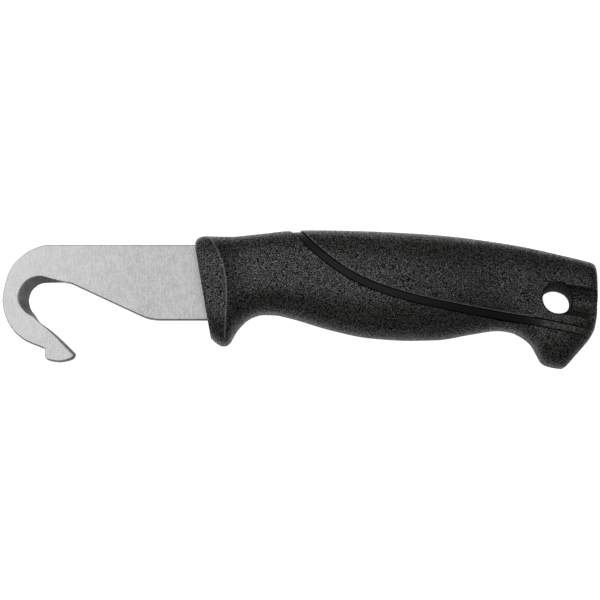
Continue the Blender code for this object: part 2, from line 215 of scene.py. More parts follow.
def loft(rings):
    """A closed body through rings of equal length, with flat ends."""
    bm = bmesh.new()
    rows = [[bm.verts.new(p) for p in ring] for ring in rings]
    for row, following in zip(rows, rows[1:]):
        for j in range(len(row)):
            k = (j + 1) % len(row)
            bm.faces.new((row[j], row[k], following[k], following[j]))
    bm.faces.new(rows[0])
    bm.faces.new(rows[-1])
    return bm


def cylinder(radius, length, placement):
    bm = bmesh.new()
    bmesh.ops.create_cone(bm, cap_ends=True, segments=32, radius1=radius, radius2=radius,
                          depth=length, matrix=placement)
    return bm


def combine(piece, operation, bm):
    """Subtract, add or keep a tool body, and leave the result in the piece's own mesh."""
    tool = new_object("tool", bm)
    modifier = piece.modifiers.new(operation, "BOOLEAN")
    modifier.operation = operation
    modifier.solver = "EXACT"
    modifier.object = tool
    settled = bpy.context.evaluated_depsgraph_get()
    result = bpy.data.meshes.new_from_object(piece.evaluated_get(settled))
    piece.modifiers.clear()
    before = piece.data
    piece.data = result
    result.name = piece.name
    bpy.data.meshes.remove(before)
    bpy.data.objects.remove(tool)


def stamp(piece, name, value_at):
    """Give every vertex a number for the material to read, from its place in millimetres."""
    attribute = piece.data.attributes.new(name, "FLOAT", "POINT")
    values = [value_at(np.array(v.co) / MM) for v in piece.data.vertices]
    attribute.data.foreach_set("value", values)


def near_line(line, reach):
    """A function that is 1 on a polyline and on its mirror image below, and fades around them."""
    start = line[:-1]
    span = line[1:] - start
    length_squared = np.maximum((span ** 2).sum(axis=1), 1e-12)

    def value(point):
        offset = np.array([point[0], point[1], abs(point[2])]) - start
        share = np.clip((offset * span).sum(axis=1) / length_squared, 0.0, 1.0)
        distance = np.linalg.norm(offset - share[:, None] * span, axis=1).min()
        return float(np.exp(-(distance / reach) ** 2))

    return value


def smooth_shade(piece, sharp_angle):
    """Rounded surfaces shade smoothly, and edges sharper than the angle stay crisp."""
    mesh = piece.data
    mesh.polygons.foreach_set("use_smooth", [True] * len(mesh.polygons))
    mesh.set_sharp_from_angle(angle=math.radians(sharp_angle))


# ============================================================================================
# blade
# ============================================================================================
# The curled part of the silhouette, anticlockwise from the end of the straight spine: X, Y,
# then the edge treatment there: its reach into the face, its drop below the face, how round
# it is (1 is a quarter round, 0 a straight bevel), and how dark it is painted (up to 2): the
# ground finish on the sharpened bevel, and painted shade along rounded and rolled edges.
# painted shade: SOFT rims are painted darkest, down to the sheared colour; POLISHED rims only a
# little
SOFT = (0.3, 0.3, 1.0, 2.0)
POLISHED = (0.35, 0.35, 1.0, 0.2)
HOOK = [
    (-73.5, SPINE_Y, *SOFT), (-77.5, 16.4, *SOFT), (-82.5, 14.15, 0.3, 0.3, 1.0, 0.6),
    (-86.9, 9.5, *POLISHED), (-88.87, 3.0, *POLISHED), (-88.97, -2.2, *POLISHED),
    (-86.9, -7.8, *POLISHED), (-82.9, -11.9, *SOFT), (-77.4, -14.4, *SOFT),
    # notch, blunt rounded foot and round nose
    (-76.4, -14.9, *POLISHED), (-76.15, -15.9, *POLISHED), (-76.2, -17.0, *POLISHED),
    (-75.6, -18.0, *POLISHED), (-74.1, -18.55, 0.4, 0.4, 1.0, 0.9),
    (-71.7, -18.85, 0.45, 0.45, 1.0, 1.0), (-69.3, -18.5, 0.6, 0.6, 1.0, 1.0),
    (-67.75, -17.95, 0.8, 0.8, 1.0, 1.2), (-67.1, -17.25, 1.0, 0.9, 1.0, 1.0),
    (-66.95, -16.5, 1.2, 1.0, 1.0, 1.0), (-67.5, -15.75, 1.3, 1.1, 1.0, 0.9),
    # inner side of the nose, rolled over towards the throat
    (-69.8, -13.45, 1.3, 1.1, 1.0, 0.8), (-72.4, -11.0, 1.0, 0.9, 1.0, 0.7),
    (-74.9, -8.95, 0.7, 0.7, 1.0, 0.5), (-77.8, -6.85, 0.5, 0.5, 1.0, 0.3),
    # sharpened inside of the curl
    (-79.15, -4.8, 1.0, 0.8, 0.5, 0.35), (-80.5, -3.1, 1.85, 1.1, 0.1, 0.7),
    (-81.15, -1.2, 2.9, 1.19, 0.0, 1.0), (-81.2, 0.5, 3.5, 1.19, 0.0, 1.0),
    (-80.5, 2.6, 3.4, 1.19, 0.0, 1.0), (-79.2, 4.05, 3.1, 1.19, 0.0, 1.0),
    (-77.6, 4.95, 2.35, 1.19, 0.0, 1.0), (-75.5, 5.2, 1.45, 1.1, 0.0, 1.0),
    (-73.0, 5.25, 0.75, 0.6, 0.3, 0.9), (-70.5, 5.2, 0.3, 0.3, 1.0, 0.3),
    # back into the blunt underside
    (-68.6, 4.85, *SOFT), (-66.8, 4.05, *SOFT)]
SLANT = [(-66.8, 4.05), (-48.0, -4.75), (-45.6, -5.7), (-43.4, -6.1), (-41.5, EDGE_Y)]
EDGE_STEPS = 5                # faces from the flat of the blade down to its rim


def tang_outline():
    """Shoulders and stick tang, from the lower shoulder round to the upper one."""
    low_root, high_root = 1.5, 12.5
    low_end, high_end = 0.6, 8.4
    fillet = 1.5
    end_radius = (high_end - low_end) / 2.0
    end_middle = (high_end + low_end) / 2.0
    points = [(SHOULDER_X, EDGE_Y), (SHOULDER_X, low_root - fillet)]
    for k in range(1, 4):
        angle = math.radians(30.0 * k)
        points.append((SHOULDER_X + fillet * (1.0 - math.cos(angle)),
                       low_root - fillet + fillet * math.sin(angle)))
    for k in range(9):
        angle = math.radians(-90.0 + 22.5 * k)
        points.append((TANG_END_X - end_radius + end_radius * math.cos(angle),
                       end_middle + end_radius * math.sin(angle)))
    for k in range(3):
        angle = math.radians(90.0 - 30.0 * k)
        points.append((SHOULDER_X + fillet * (1.0 - math.cos(angle)),
                       high_root + fillet - fillet * math.sin(angle)))
    points.append((SHOULDER_X, high_root + fillet))
    points.append((SHOULDER_X, SPINE_Y))
    return points


def inward_normals(points):
    """Unit vectors into the blade at each point of a silhouette that runs anticlockwise."""
    normals = []
    for i, point in enumerate(points):
        before, after = Vector(points[i - 1]), Vector(points[(i + 1) % len(points)])
        first = (Vector(point) - before).normalized()
        second = (after - Vector(point)).normalized()
        tangent = (first + second).normalized()
        mitre = max(tangent.dot(first), 0.5)
        normals.append(Vector((-tangent.y, tangent.x)) / mitre)
    return normals


def blade_silhouette():
    """Rows of X, Y, reach, drop, roundness and tone all round the blade and its tang."""
    hook = curve_through(HOOK, 0.35)[:-1]
    slant = curve_through([SLANT[0], SLANT[1]], 1.0)[:-1]
    corner = curve_through(SLANT[1:], 0.6)
    plain = np.vstack([slant, corner, np.array(tang_outline())])
    treatment = np.tile(SOFT, (len(plain), 1))
    return np.vstack([hook, np.hstack([plain, treatment])])


def make_blade():
    rows = blade_silhouette()
    half = BLADE_THICKNESS / 2.0
    points = [(x, y) for x, y in rows[:, :2]]
    normals = inward_normals(points)
    levels, finish_and_shade_tones = [], []
    flat_margin = 0.06            # a ring this far onto the flat keeps its shading flat
    for step in range(-1, EDGE_STEPS + 1):
        level = []
        turn = max(step, 0) / EDGE_STEPS
        inset_round = 1.0 - math.sin(turn * math.pi / 2.0)
        drop_round = 1.0 - math.cos(turn * math.pi / 2.0)
        for (x, y, reach, drop, roundness, tone), normal in zip(rows, normals):
            reach = max(reach, LEAST_BREAK)
            drop = min(max(drop, LEAST_BREAK), half - HALF_RIM)
            roundness, tone = min(max(roundness, 0.0), 1.0), min(max(tone, 0.0), 2.0)
            inset = reach * (roundness * inset_round + (1.0 - roundness) * (1.0 - turn))
            fall = drop * (roundness * drop_round + (1.0 - roundness) * turn)
            if step < 0:
                inset += flat_margin
                tone = 0.0
            level.append((x + normal.x * inset, y + normal.y * inset, half - fall))
            # painted shade: on a rounded edge the darkening grows as the surface turns down from
            # the flat
            finish_and_shade_tones.append(tone * (1.0 - roundness * (1.0 - turn) ** 2))
        levels.append(level)
    rings = levels + [[(x, y, -z) for x, y, z in level] for level in levels[::-1]]
    blade = new_object("blade_steel_body", loft(rings))
    hole = Matrix.Translation((*TANG_HOLE, 0.0))
    combine(blade, "DIFFERENCE", cylinder(TANG_HOLE_RADIUS, 2.0 * BLADE_THICKNESS, hole))
    edge_points = np.array(levels).reshape(-1, 3)

    def ground_and_edge_shade_tone(vertex):
        distance = np.abs(edge_points - (vertex[0], vertex[1], abs(vertex[2]))).sum(axis=1)
        nearest = int(distance.argmin())
        same_point = 0.02
        return finish_and_shade_tones[nearest] if distance[nearest] < same_point else 0.0

    # the ground finish of the sharpened bevel, and painted shade along the rounded edges
    stamp(blade, "ground_and_edge_shade", ground_and_edge_shade_tone)
    smooth_shade(blade, BLADE_SHARP_ANGLE)
    return blade


# ============================================================================================
# handle surface
# ============================================================================================
# Spine side of the handle, from the guard to the rear end.
TOP_LINE = smooth_line([(FRONT_X, 16.3), (-28.4, 17.3), (-27.9, 18.0), (-27.2, 18.5),
                        (-26.2, 18.9), (-24.5, 19.0), (-19.0, 18.95), (-12.0, 19.7),
                        (-5.0, 20.53), (2.0, 20.87), (8.0, 20.85), (20.0, 20.6), (33.0, 20.0),
                        (45.0, 19.1), (57.0, 17.5), (69.0, 15.35), (78.0, 13.3), (85.0, 11.55),
                        (87.2, 10.9), (88.1, 10.3), (88.5, 9.5), (REAR_X, 8.3)])
# Belly side: chamfered guard tip, finger bay, belly, little-finger bay, pommel hook and
# the slanted heel up to the rear end.
BOTTOM_LINE = smooth_line([(FRONT_X, -11.2), (-27.9, -12.3), (-26.9, -13.15), (-25.7, -13.75),
                           (-24.6, -13.7), (-23.3, -13.0), (-21.5, -10.9), (-19.9, -9.0),
                           (-18.3, -7.6), (-16.8, -6.4), (-14.0, -4.95), (-11.0, -4.3),
                           (-7.5, -4.4), (-3.0, -5.35), (9.0, -8.9), (21.0, -11.4),
                           (33.0, -12.15), (41.0, -12.0), (51.0, -10.4), (59.5, -9.2),
                           (63.0, -9.6), (66.0, -10.9), (69.2, -13.5), (71.3, -17.3),
                           (72.2, -18.9), (73.7, -19.8), (77.0, -20.55), (78.2, -20.65),
                           (79.4, -20.0), (82.0, -17.2), (85.0, -13.8), (87.1, -11.1),
                           (88.0, -8.8), (88.5, -5.6), (REAR_X, -2.0)])
BODY_HALF_WIDTH = smooth_line([(FRONT_X, 8.8), (-18.0, 8.9), (-8.0, 9.6), (10.0, 10.8),
                               (28.0, 10.98), (45.0, 10.2), (60.0, 8.9), (72.0, 8.5),
                               (84.0, 8.5), (87.0, 8.3), (88.0, 7.8), (88.5, 7.2), (REAR_X, 6.4)])
COLLAR_HALF_WIDTH = smooth_line([(FRONT_X, 8.7), (-28.4, 9.2), (-28.0, 9.35), (RIDGE_X, 9.75)])
COLLAR_SQUARENESS = 3.4
BODY_SQUARENESS = smooth_line([(-20.0, 3.0), (10.0, 2.8), (50.0, 2.7), (72.0, 3.4), (REAR_X, 3.4)])
# Middle line of the dividing band: over the spine just behind the thumb, down across the
# side and along to the rear end.
BAND_LINE = [(-6.5, 26.0), (-0.6, 19.6), (4.0, 14.4), (10.0, 9.2), (16.5, 5.0), (24.0, 1.7),
             (34.0, -1.3), (45.0, -3.6), (57.0, -5.6), (69.0, -7.7), (80.0, -9.9), (94.0, -12.8)]
OVER_SPINE = (-6.0, 6.0)      # stations between which its borders cross the spine
OVER_BELLY = (80.0, 88.4)     # and between which they run out at the heel


class Section:
    """One superelliptic cross-section of the handle, shrunk all round by inset."""

    def __init__(self, station, inset=0.0):
        if station <= RIDGE_X:
            collar = 1.0
            bulge = RIDGE_BULGE * (station - FRONT_X) / (RIDGE_X - FRONT_X)
        else:
            behind = station - RIDGE_X
            collar = max(0.0, 1.0 - behind / COLLAR_FADE) ** 2
            bulge = RIDGE_BULGE * (1.0 - smoothstep(behind / (2.0 * COLLAR_FADE)))
        top, bottom = TOP_LINE(station) - inset, BOTTOM_LINE(station) + inset
        body, squareness = BODY_HALF_WIDTH(station), BODY_SQUARENESS(station)
        self.station = station
        self.middle, self.half_height = (top + bottom) / 2.0, (top - bottom) / 2.0
        self.half_width = body + (COLLAR_HALF_WIDTH(station) - body) * collar - inset
        self.power = squareness + (COLLAR_SQUARENESS - squareness) * collar
        self.lean = GUARD_LEAN * (1.0 - smoothstep((station - RIDGE_X) / (LEAN_END_X - RIDGE_X)))
        self.bulge = bulge

    def side_height(self, y):
        """Z of the upper side at a height y, 0 outside the section."""
        level = abs(y - self.middle) / self.half_height
        return self.half_width * max(0.0, 1.0 - level ** self.power) ** (1.0 / self.power)

    def bearing(self, y):
        """Angle from the spine direction to the surface point at height y."""
        y = min(max(y, self.middle - self.half_height), self.middle + self.half_height)
        return math.atan2(self.side_height(y), y - self.middle)

    def points(self, bearings):
        rise, side = np.cos(bearings), np.abs(np.sin(bearings))
        radius = (np.abs(rise / self.half_height) ** self.power
                  + (side / self.half_width) ** self.power) ** (-1.0 / self.power)
        level = radius * rise / self.half_height
        bow = self.bulge * (1.0 - level ** 2) * (1.0 + RIDGE_SKEW * level)
        x = self.station - self.lean * (self.middle + radius * rise) + bow
        return np.stack([x, self.middle + radius * rise, radius * side], axis=1)

    def normals(self, points):
        """Outward unit normals within the section plane."""
        level = (points[:, 1] - self.middle) / self.half_height
        rise = np.sign(level) * np.abs(level) ** (self.power - 1.0) / self.half_height
        side = (points[:, 2] / self.half_width) ** (self.power - 1.0) / self.half_width
        normals = np.stack([np.zeros(len(points)), rise, side], axis=1)
        return normals / np.linalg.norm(normals, axis=1, keepdims=True)

    def half_row(self, upper, lower, spacing):
        """Points down the +Z side between two heights, spaced along the surface."""
        samples = 320
        bearings = np.linspace(self.bearing(upper), self.bearing(lower), samples)
        path = self.points(bearings)
        travelled = np.concatenate([[0.0], np.cumsum(np.linalg.norm(np.diff(path[:, 1:], axis=0),
                                                                    axis=1))])
        wanted = np.interp(spacing(travelled[-1]), travelled, bearings)
        return self.points(wanted)


def fine_to_coarse(count):
    """Spacing for a grip row: fine near both ends, even in between."""
    fine = np.array([0.0, 0.05, 0.11, 0.18, 0.26, 0.36, 0.5, 0.75, 1.15])

    def spacing(length):
        ends = fine * min(1.0, length / 4.0)
        inner = np.linspace(ends[-1], length - ends[-1], count)[1:-1]
        return np.concatenate([ends, inner, length - ends[::-1]])

    return spacing


def even(count):
    return lambda length: np.linspace(0.0, length, count)


def ridge_line():
    """The crease of the guard collar on the +Z side, short of the spine and the belly."""
    first, last = 0.35, 2.75
    return Section(RIDGE_X).points(np.linspace(first, last, 100))


def border_line(side):
    """Where a height line crosses the handle's +Z surface, as far as the rib lies low."""
    line = []
    for x in spread([(-4.0, 6.0, 0.1), (6.0, RIB_RISE[0], 0.5)]):
        section = Section(x)
        if abs(side(x) - section.middle) < section.half_height:
            line.append((x, side(x), section.side_height(side(x))))
    return np.array(line)


def band_side(offset):
    """Height of the band's middle line moved sideways by offset, and its slope."""
    line = curve_through(BAND_LINE, 0.6)
    along = np.gradient(line, axis=0)
    along /= np.linalg.norm(along, axis=1, keepdims=True)
    side = line + np.stack([-along[:, 1], along[:, 0]], axis=1) * offset
    slopes = np.gradient(side[:, 1], side[:, 0])
    return (lambda x: float(np.interp(x, side[:, 0], side[:, 1])),
            lambda x: np.interp(x, side[:, 0], slopes))


def near_crossing(position, direction, sections_wide=10.0):
    """Stations that follow a border curling over the spine or the belly at a position."""
    reach = 3.7
    wide = [0.35 * k for k in range(1, 20)]
    inside = [position + direction * reach * (z / sections_wide) ** 2.5 for z in wide]
    outside = [position - direction * d for d in (0.05, 0.11, 0.18, 0.26, 0.36, 0.5, 0.75)]
    return inside + [position] + outside


def round_border(rows, normals, border, slope, radius):
    """Lower the surface beside a border so that the edge there is rounded."""
    start, end = border[:-1], border[1:]
    span = end - start
    length_squared = np.maximum((span ** 2).sum(axis=1), 1e-12)
    for row, row_normals in zip(rows, normals):
        offset = row[:, None, :] - start[None, :, :]
        share = np.clip((offset * span).sum(axis=2) / length_squared, 0.0, 1.0)
        distance = np.linalg.norm(offset - share[..., None] * span, axis=2).min(axis=1)
        touched = distance < radius
        if not touched.any():
            continue
        slopes = slope(row[touched, 0])
        wall = np.stack([-slopes, np.ones_like(slopes), np.zeros_like(slopes)], axis=1)
        wall /= np.linalg.norm(wall, axis=1, keepdims=True)
        inward = row_normals[touched]
        inward = inward - (inward * wall).sum(axis=1, keepdims=True) * wall
        inward /= np.maximum(np.linalg.norm(inward, axis=1, keepdims=True), 1e-6)
        left = radius - distance[touched]
        row[touched] -= inward * (radius - np.sqrt(radius ** 2 - left ** 2))[:, None]


def banded_body(stations, upper, lower, spacing, edge, depth=lambda x: 0.0,
                slopes=(None, None)):
    """Rings of the part of the handle between two heights, with rounded borders."""
    rows, normals, top_open, bottom_open = [], [], [], []
    for station in stations:
        section = Section(station, depth(station))
        high = section.middle + section.half_height
        low = section.middle - section.half_height
        row = section.half_row(min(upper(station), high), max(lower(station), low), spacing)
        rows.append(row)
        normals.append(section.normals(row))
        top_open.append(upper(station) < high)
        bottom_open.append(lower(station) > low)
    for is_open, column, slope in ((top_open, 0, slopes[0]), (bottom_open, -1, slopes[1])):
        if slope is not None:
            border = np.array([row[column] for row, opened in zip(rows, is_open) if opened])
            round_border(rows, normals, border, slope, edge)
    mirror = np.array([1.0, 1.0, -1.0])
    return [np.vstack([row, (row * mirror)[::-1]]) for row in rows]


HANDLE_ZONES = [(FRONT_X, -28.0, 0.1), (-28.0, -27.4, 0.2), (-27.4, RIDGE_X - 0.3, 0.4),
                (RIDGE_X - 0.3, RIDGE_X + 0.3, 0.15), (RIDGE_X + 0.3, -16.0, 0.4),
                (-16.0, -6.0, 0.7), (-6.0, 4.0, 0.5), (4.0, 60.0, 1.1), (60.0, 84.0, 0.5),
                (84.0, 87.9, 0.3), (87.9, REAR_X, 0.08)]
HANDLE_STATIONS = spread(HANDLE_ZONES)


def stations_between(start, end, extra=()):
    """Handle stations inside a range, with extra ones, none closer than a hair."""
    inside = sorted([s for s in (*HANDLE_STATIONS, *extra) if start < s < end] + [start, end])
    kept = [inside[0]]
    for station in inside[1:]:
        if station - kept[-1] > HAIR:
            kept.append(station)
    return kept


# ============================================================================================
# handle core
# ============================================================================================
CORE_FRONT_X = SHOULDER_X + GAP
CORE_REAR_X = 66.0
CORE_RINGS = 24
CORE_COLUMNS = 32
CORE_TOP = smooth_line([(-24.5, 14.6), (-12.0, 16.6), (2.0, 18.3), (20.0, 18.0), (45.0, 16.4),
                        (60.0, 13.6), (67.0, 11.0)])
CORE_BOTTOM = smooth_line([(-24.5, -1.6), (-11.0, -1.2), (9.0, -5.6), (30.0, -9.2),
                           (45.0, -8.2), (67.0, -5.8)])


def core_loft(grow):
    """The solid middle of the core, grown all round by grow."""
    rings = []
    for x in np.linspace(CORE_FRONT_X - grow, CORE_REAR_X + grow, CORE_RINGS):
        top, bottom = CORE_TOP(x) + grow, CORE_BOTTOM(x) - grow
        middle, half_height = (top + bottom) / 2.0, (top - bottom) / 2.0
        half_width = BODY_HALF_WIDTH(x) - CORE_DEPTH + grow
        turns = np.linspace(0.0, 2.0 * math.pi, CORE_COLUMNS + 1)[:-1]
        rings.append([(x, middle + half_height * math.cos(a), half_width * math.sin(a))
                      for a in turns])
    return loft(rings)


def rib_depth(x):
    start, end = RIB_RISE
    return RIB_RECESS + (RIB_FLUSH - RIB_RECESS) * smoothstep((x - start) / (end - start))


def make_core():
    reach = BAND_WIDTH / 2.0 - RIB_GAP
    upper, upper_slope = band_side(reach)
    lower, lower_slope = band_side(-reach)

    def above_spine(side):
        return lambda x: side(x) - (TOP_LINE(x) - rib_depth(x))

    def above_belly(side):
        return lambda x: side(x) - (BOTTOM_LINE(x) + rib_depth(x))

    start = crossing(above_spine(lower), *OVER_SPINE)
    split = crossing(above_spine(upper), *OVER_SPINE)
    shed = crossing(above_belly(lower), *OVER_BELLY)
    end = crossing(above_belly(upper), *OVER_BELLY)
    extra = (near_crossing(start, 1.0) + near_crossing(split, 1.0)
             + near_crossing(shed, -1.0, 8.0) + near_crossing(end, -1.0, 8.0))
    rings = banded_body(stations_between(start, end, extra), upper, lower, even(RIB_COLUMNS),
                        RIB_EDGE, rib_depth, (upper_slope, lower_slope))
    core = new_object("core_body", loft(rings))
    combine(core, "UNION", core_loft(0.0))
    half_slot = BLADE_THICKNESS / 2.0 + GAP
    tang = tang_outline()
    grown = [tuple(Vector(p) - n * GAP) for p, n in zip(tang, inward_normals(tang))]
    cavity = new_object("cavity", prism(grown, -half_slot, half_slot))
    pin = Matrix.Translation((*TANG_HOLE, 0.0))
    combine(cavity, "DIFFERENCE", cylinder(TANG_HOLE_RADIUS - GAP, 3.0 * BLADE_THICKNESS, pin))
    room = bmesh.new()
    room.from_mesh(cavity.data)
    bmesh.ops.scale(room, verts=room.verts, vec=(1.0 / MM, 1.0 / MM, 1.0 / MM))
    bpy.data.objects.remove(cavity)
    combine(core, "DIFFERENCE", room)
    smooth_shade(core, HANDLE_SHARP_ANGLE)
    return core


# ============================================================================================
# grips
# ============================================================================================
def lids(ring):
    """Smaller copies of an end ring inside its flat end."""
    middle = ring.mean(axis=0)
    return [middle + (ring - middle) * share for share in LID_SHARES]


def make_front_grip():
    """Guard, belly and pommel hook: everything below the band."""
    border, slope = band_side(-BAND_WIDTH / 2.0)
    split = crossing(lambda x: border(x) - TOP_LINE(x), *OVER_SPINE)
    end = crossing(lambda x: border(x) - BOTTOM_LINE(x), *OVER_BELLY)
    extra = near_crossing(split, 1.0) + near_crossing(end, -1.0, 8.0)
    rings = banded_body(stations_between(FRONT_X, end, extra), border, lambda x: -BEYOND,
                        fine_to_coarse(GRIP_COLUMNS), GRIP_EDGE, slopes=(slope, None))
    grip = new_object("front_grip_body", loft(lids(rings[0])[::-1] + rings))
    combine(grip, "DIFFERENCE", core_loft(GAP))
    slot_start, slot_end = -40.0, CORE_FRONT_X - 0.05
    slot = [(slot_start, EDGE_Y - GAP), (slot_end, EDGE_Y - GAP),
            (slot_end, SPINE_Y + GAP), (slot_start, SPINE_Y + GAP)]
    half_slot = BLADE_THICKNESS / 2.0 + GAP
    combine(grip, "DIFFERENCE", prism(slot, -half_slot, half_slot))
    # gloss and a painted highlight along the collar's crease
    stamp(grip, "wear_and_highlight", near_line(ridge_line(), RIDGE_HIGHLIGHT_REACH))
    smooth_shade(grip, HANDLE_SHARP_ANGLE)
    return grip


def gutter_height(x, y):
    """Height of the trough's round floor, and the place along and across the trough."""
    along = (x - HOLE_X) * math.cos(GUTTER_SLOPE) + (y - HOLE_Y) * math.sin(GUTTER_SLOPE)
    across = (y - HOLE_Y) * math.cos(GUTTER_SLOPE) - (x - HOLE_X) * math.sin(GUTTER_SLOPE)
    radius = (GUTTER_HALF_WIDTH ** 2 + GUTTER_DEPTH ** 2) / (2.0 * GUTTER_DEPTH)
    floor = BODY_HALF_WIDTH(HOLE_X) - GUTTER_DEPTH
    round_reach, steepness = 0.999 * radius, 9.0
    inside = min(abs(across), round_reach)
    outside = max(abs(across) - round_reach, 0.0)
    height = floor + radius - math.sqrt(radius ** 2 - inside ** 2) + steepness * outside
    return height, along, across


def pommel_height(x, y):
    """Upper surface of the pommel, with the trough's rims rounded into it."""
    run_in = 1.5
    surface = Section(x).side_height(y)
    trough, along, across = gutter_height(x, y)
    if along <= 0.0:
        return surface
    rim = GUTTER_UPPER_RIM if across > 0.0 else GUTTER_LOWER_RIM
    overlap = max(rim - abs(surface - trough), 0.0) / rim
    blended = min(surface, trough) - overlap ** 2 * rim / 4.0
    return surface + (blended - surface) * smoothstep(along / run_in)


def gutter_place(along, across):
    return (HOLE_X + along * math.cos(GUTTER_SLOPE) - across * math.sin(GUTTER_SLOPE),
            HOLE_Y + along * math.sin(GUTTER_SLOPE) + across * math.cos(GUTTER_SLOPE))


def gutter_rim(along, direction):
    """How far across the trough still cuts the surface."""
    across, widest = GUTTER_RIM_RANGE
    step = 0.01
    while across < widest:
        x, y = gutter_place(along, direction * (across + step))
        if Section(x).side_height(y) - pommel_height(x, y) < SLIVER:
            break
        across += step
    return direction * across


def gutter_cutter(side):
    """Trough from the hang hole out through the rear end, on one side of the handle."""
    columns = (1.0 - np.cos(np.linspace(0.0, math.pi, 41))) / 2.0
    rings = []
    for along in spread([(0.05, 2.0, 0.25), (2.0, 9.5, 0.5), (9.5, 13.0, 0.15),
                         (13.0, GUTTER_LENGTH, 1.0)]):
        low, high = gutter_rim(along, -1.0), gutter_rim(along, 1.0)
        places = [gutter_place(along, low + (high - low) * share) for share in columns]
        sheet = [(x, y, side * pommel_height(x, y)) for x, y in places]
        rings.append(sheet + [(*places[-1], side * ABOVE), (*places[0], side * ABOVE)])
    return loft(rings)


def hole_cutter():
    """Hourglass hole whose rims are rounded into the surface all the way round."""
    turns = np.linspace(0.0, 2.0 * math.pi, HOLE_POINTS + 1)[:-1]
    taper = (HOLE_RADIUS - HOLE_WAIST_RADIUS) / BODY_HALF_WIDTH(HOLE_X)

    def ring(radius_at, height_at):
        points = []
        for turn in turns:
            x, y = math.cos(turn), math.sin(turn)
            rim = pommel_height(HOLE_X + HOLE_RADIUS * x, HOLE_Y + HOLE_RADIUS * y) - HOLE_RIM
            radius = radius_at(rim)
            here = pommel_height(HOLE_X + radius * x, HOLE_Y + radius * y) - HOLE_RIM
            points.append((HOLE_X + radius * x, HOLE_Y + radius * y, height_at(rim, here)))
        return points

    rings = [ring(lambda rim, s=share: HOLE_WAIST_RADIUS + taper * rim * s,
                  lambda rim, here, s=share: rim * s) for share in (0.12, 0.4, 0.7, 1.0)]
    for degrees in (18.0, 36.0, 54.0, 68.0):
        turn = math.radians(degrees)
        rings.append(ring(lambda rim, t=turn: (HOLE_WAIST_RADIUS + taper * rim
                                               + HOLE_RIM * (1.0 - math.cos(t))),
                          lambda rim, here, t=turn: here + HOLE_RIM * math.sin(t)))
    rings.append([(x, y, ABOVE) for x, y, _ in rings[-1]])
    return loft([[(x, y, -z) for x, y, z in r] for r in rings[::-1]] + rings)


def make_back_grip():
    """Thumb side of the handle, with the hang hole and its gutters."""
    border, slope = band_side(BAND_WIDTH / 2.0)
    start = crossing(lambda x: border(x) - TOP_LINE(x), *OVER_SPINE)
    shed = crossing(lambda x: border(x) - BOTTOM_LINE(x), *OVER_BELLY)
    extra = near_crossing(start, 1.0) + near_crossing(shed, -1.0, 8.0)
    rings = banded_body(stations_between(start, REAR_X, extra), lambda x: BEYOND, border,
                        fine_to_coarse(GRIP_COLUMNS), GRIP_EDGE, slopes=(None, slope))
    grip = new_object("back_grip_body", loft(rings + lids(rings[-1])))
    combine(grip, "DIFFERENCE", core_loft(GAP))
    combine(grip, "DIFFERENCE", gutter_cutter(1.0))
    combine(grip, "DIFFERENCE", gutter_cutter(-1.0))
    combine(grip, "DIFFERENCE", hole_cutter())
    # gloss and a painted highlight along the band's border
    stamp(grip, "wear_and_highlight", near_line(border_line(border), BORDER_HIGHLIGHT_REACH))
    bore = np.array([HOLE_X, HOLE_Y])
    stamp(grip, "matte",
          lambda p: float(np.linalg.norm(p[:2] - bore) < HOLE_RADIUS + 0.6 * HOLE_RIM))
    smooth_shade(grip, HANDLE_SHARP_ANGLE)
    return grip


# ============================================================================================
# materials
# ============================================================================================
class Shader:
    """A principled material whose nodes are added by short calls."""

    def __init__(self, name):
        self.material = bpy.data.materials.new(name)
        self.material.use_nodes = True
        self.tree = self.material.node_tree
        self.surface = self.tree.nodes["Principled BSDF"]
        coordinates = self.tree.nodes.new("ShaderNodeTexCoord")
        self.millimetres = self.add("ShaderNodeVectorMath", "Vector", operation="SCALE",
                                    Vector=coordinates.outputs["Object"], Scale=1.0 / MM)

    def feed(self, socket, value):
        if isinstance(value, bpy.types.NodeSocket):
            self.tree.links.new(value, socket)
        else:
            socket.default_value = value

    def add(self, kind, output, operation=None, **inputs):
        """A new node with its inputs set or linked; gives back one of its outputs."""
        node = self.tree.nodes.new(kind)
        if operation:
            node.operation = operation
        for name, value in inputs.items():
            self.feed(node.inputs[name.replace("_", " ")], value)
        return node.outputs[output]

    def stretch(self, scale):
        return self.add("ShaderNodeMapping", "Vector", Vector=self.millimetres, Scale=scale)

    def noise(self, vector, scale, detail=2.0, roughness=0.5):
        return self.add("ShaderNodeTexNoise", "Fac", Vector=vector, Scale=scale, Detail=detail,
                        Roughness=roughness)

    def reading(self, name):
        """A number stamped on the mesh's vertices."""
        node = self.tree.nodes.new("ShaderNodeAttribute")
        node.attribute_name = name
        return node.outputs["Fac"]

    def remap(self, value, low, high, to_low, to_high):
        node = self.tree.nodes.new("ShaderNodeMapRange")
        for socket, number in zip(node.inputs, (value, low, high, to_low, to_high)):
            self.feed(socket, number)
        return node.outputs["Result"]

    def math(self, operation, first, second):
        node = self.tree.nodes.new("ShaderNodeMath")
        node.operation = operation
        self.feed(node.inputs[0], first)
        self.feed(node.inputs[1], second)
        return node.outputs[0]

    def blend(self, share, first, second):
        node = self.tree.nodes.new("ShaderNodeMix")
        node.data_type = "RGBA"
        self.feed(node.inputs["Factor"], share)
        self.feed(node.inputs["A"], first)
        self.feed(node.inputs["B"], second)
        return next(o for o in node.outputs if o.type == "RGBA")

    def bump(self, height, strength, distance):
        return self.add("ShaderNodeBump", "Normal", Height=height, Strength=strength,
                        Distance=distance * MM)

    def finish(self, colour, roughness, normal, metallic=0.0, specular=0.5):
        self.feed(self.surface.inputs["Base Color"], colour)
        self.feed(self.surface.inputs["Roughness"], roughness)
        self.feed(self.surface.inputs["Normal"], normal)
        self.feed(self.surface.inputs["Metallic"], metallic)
        self.feed(self.surface.inputs["Specular IOR Level"], specular)
        return self.material


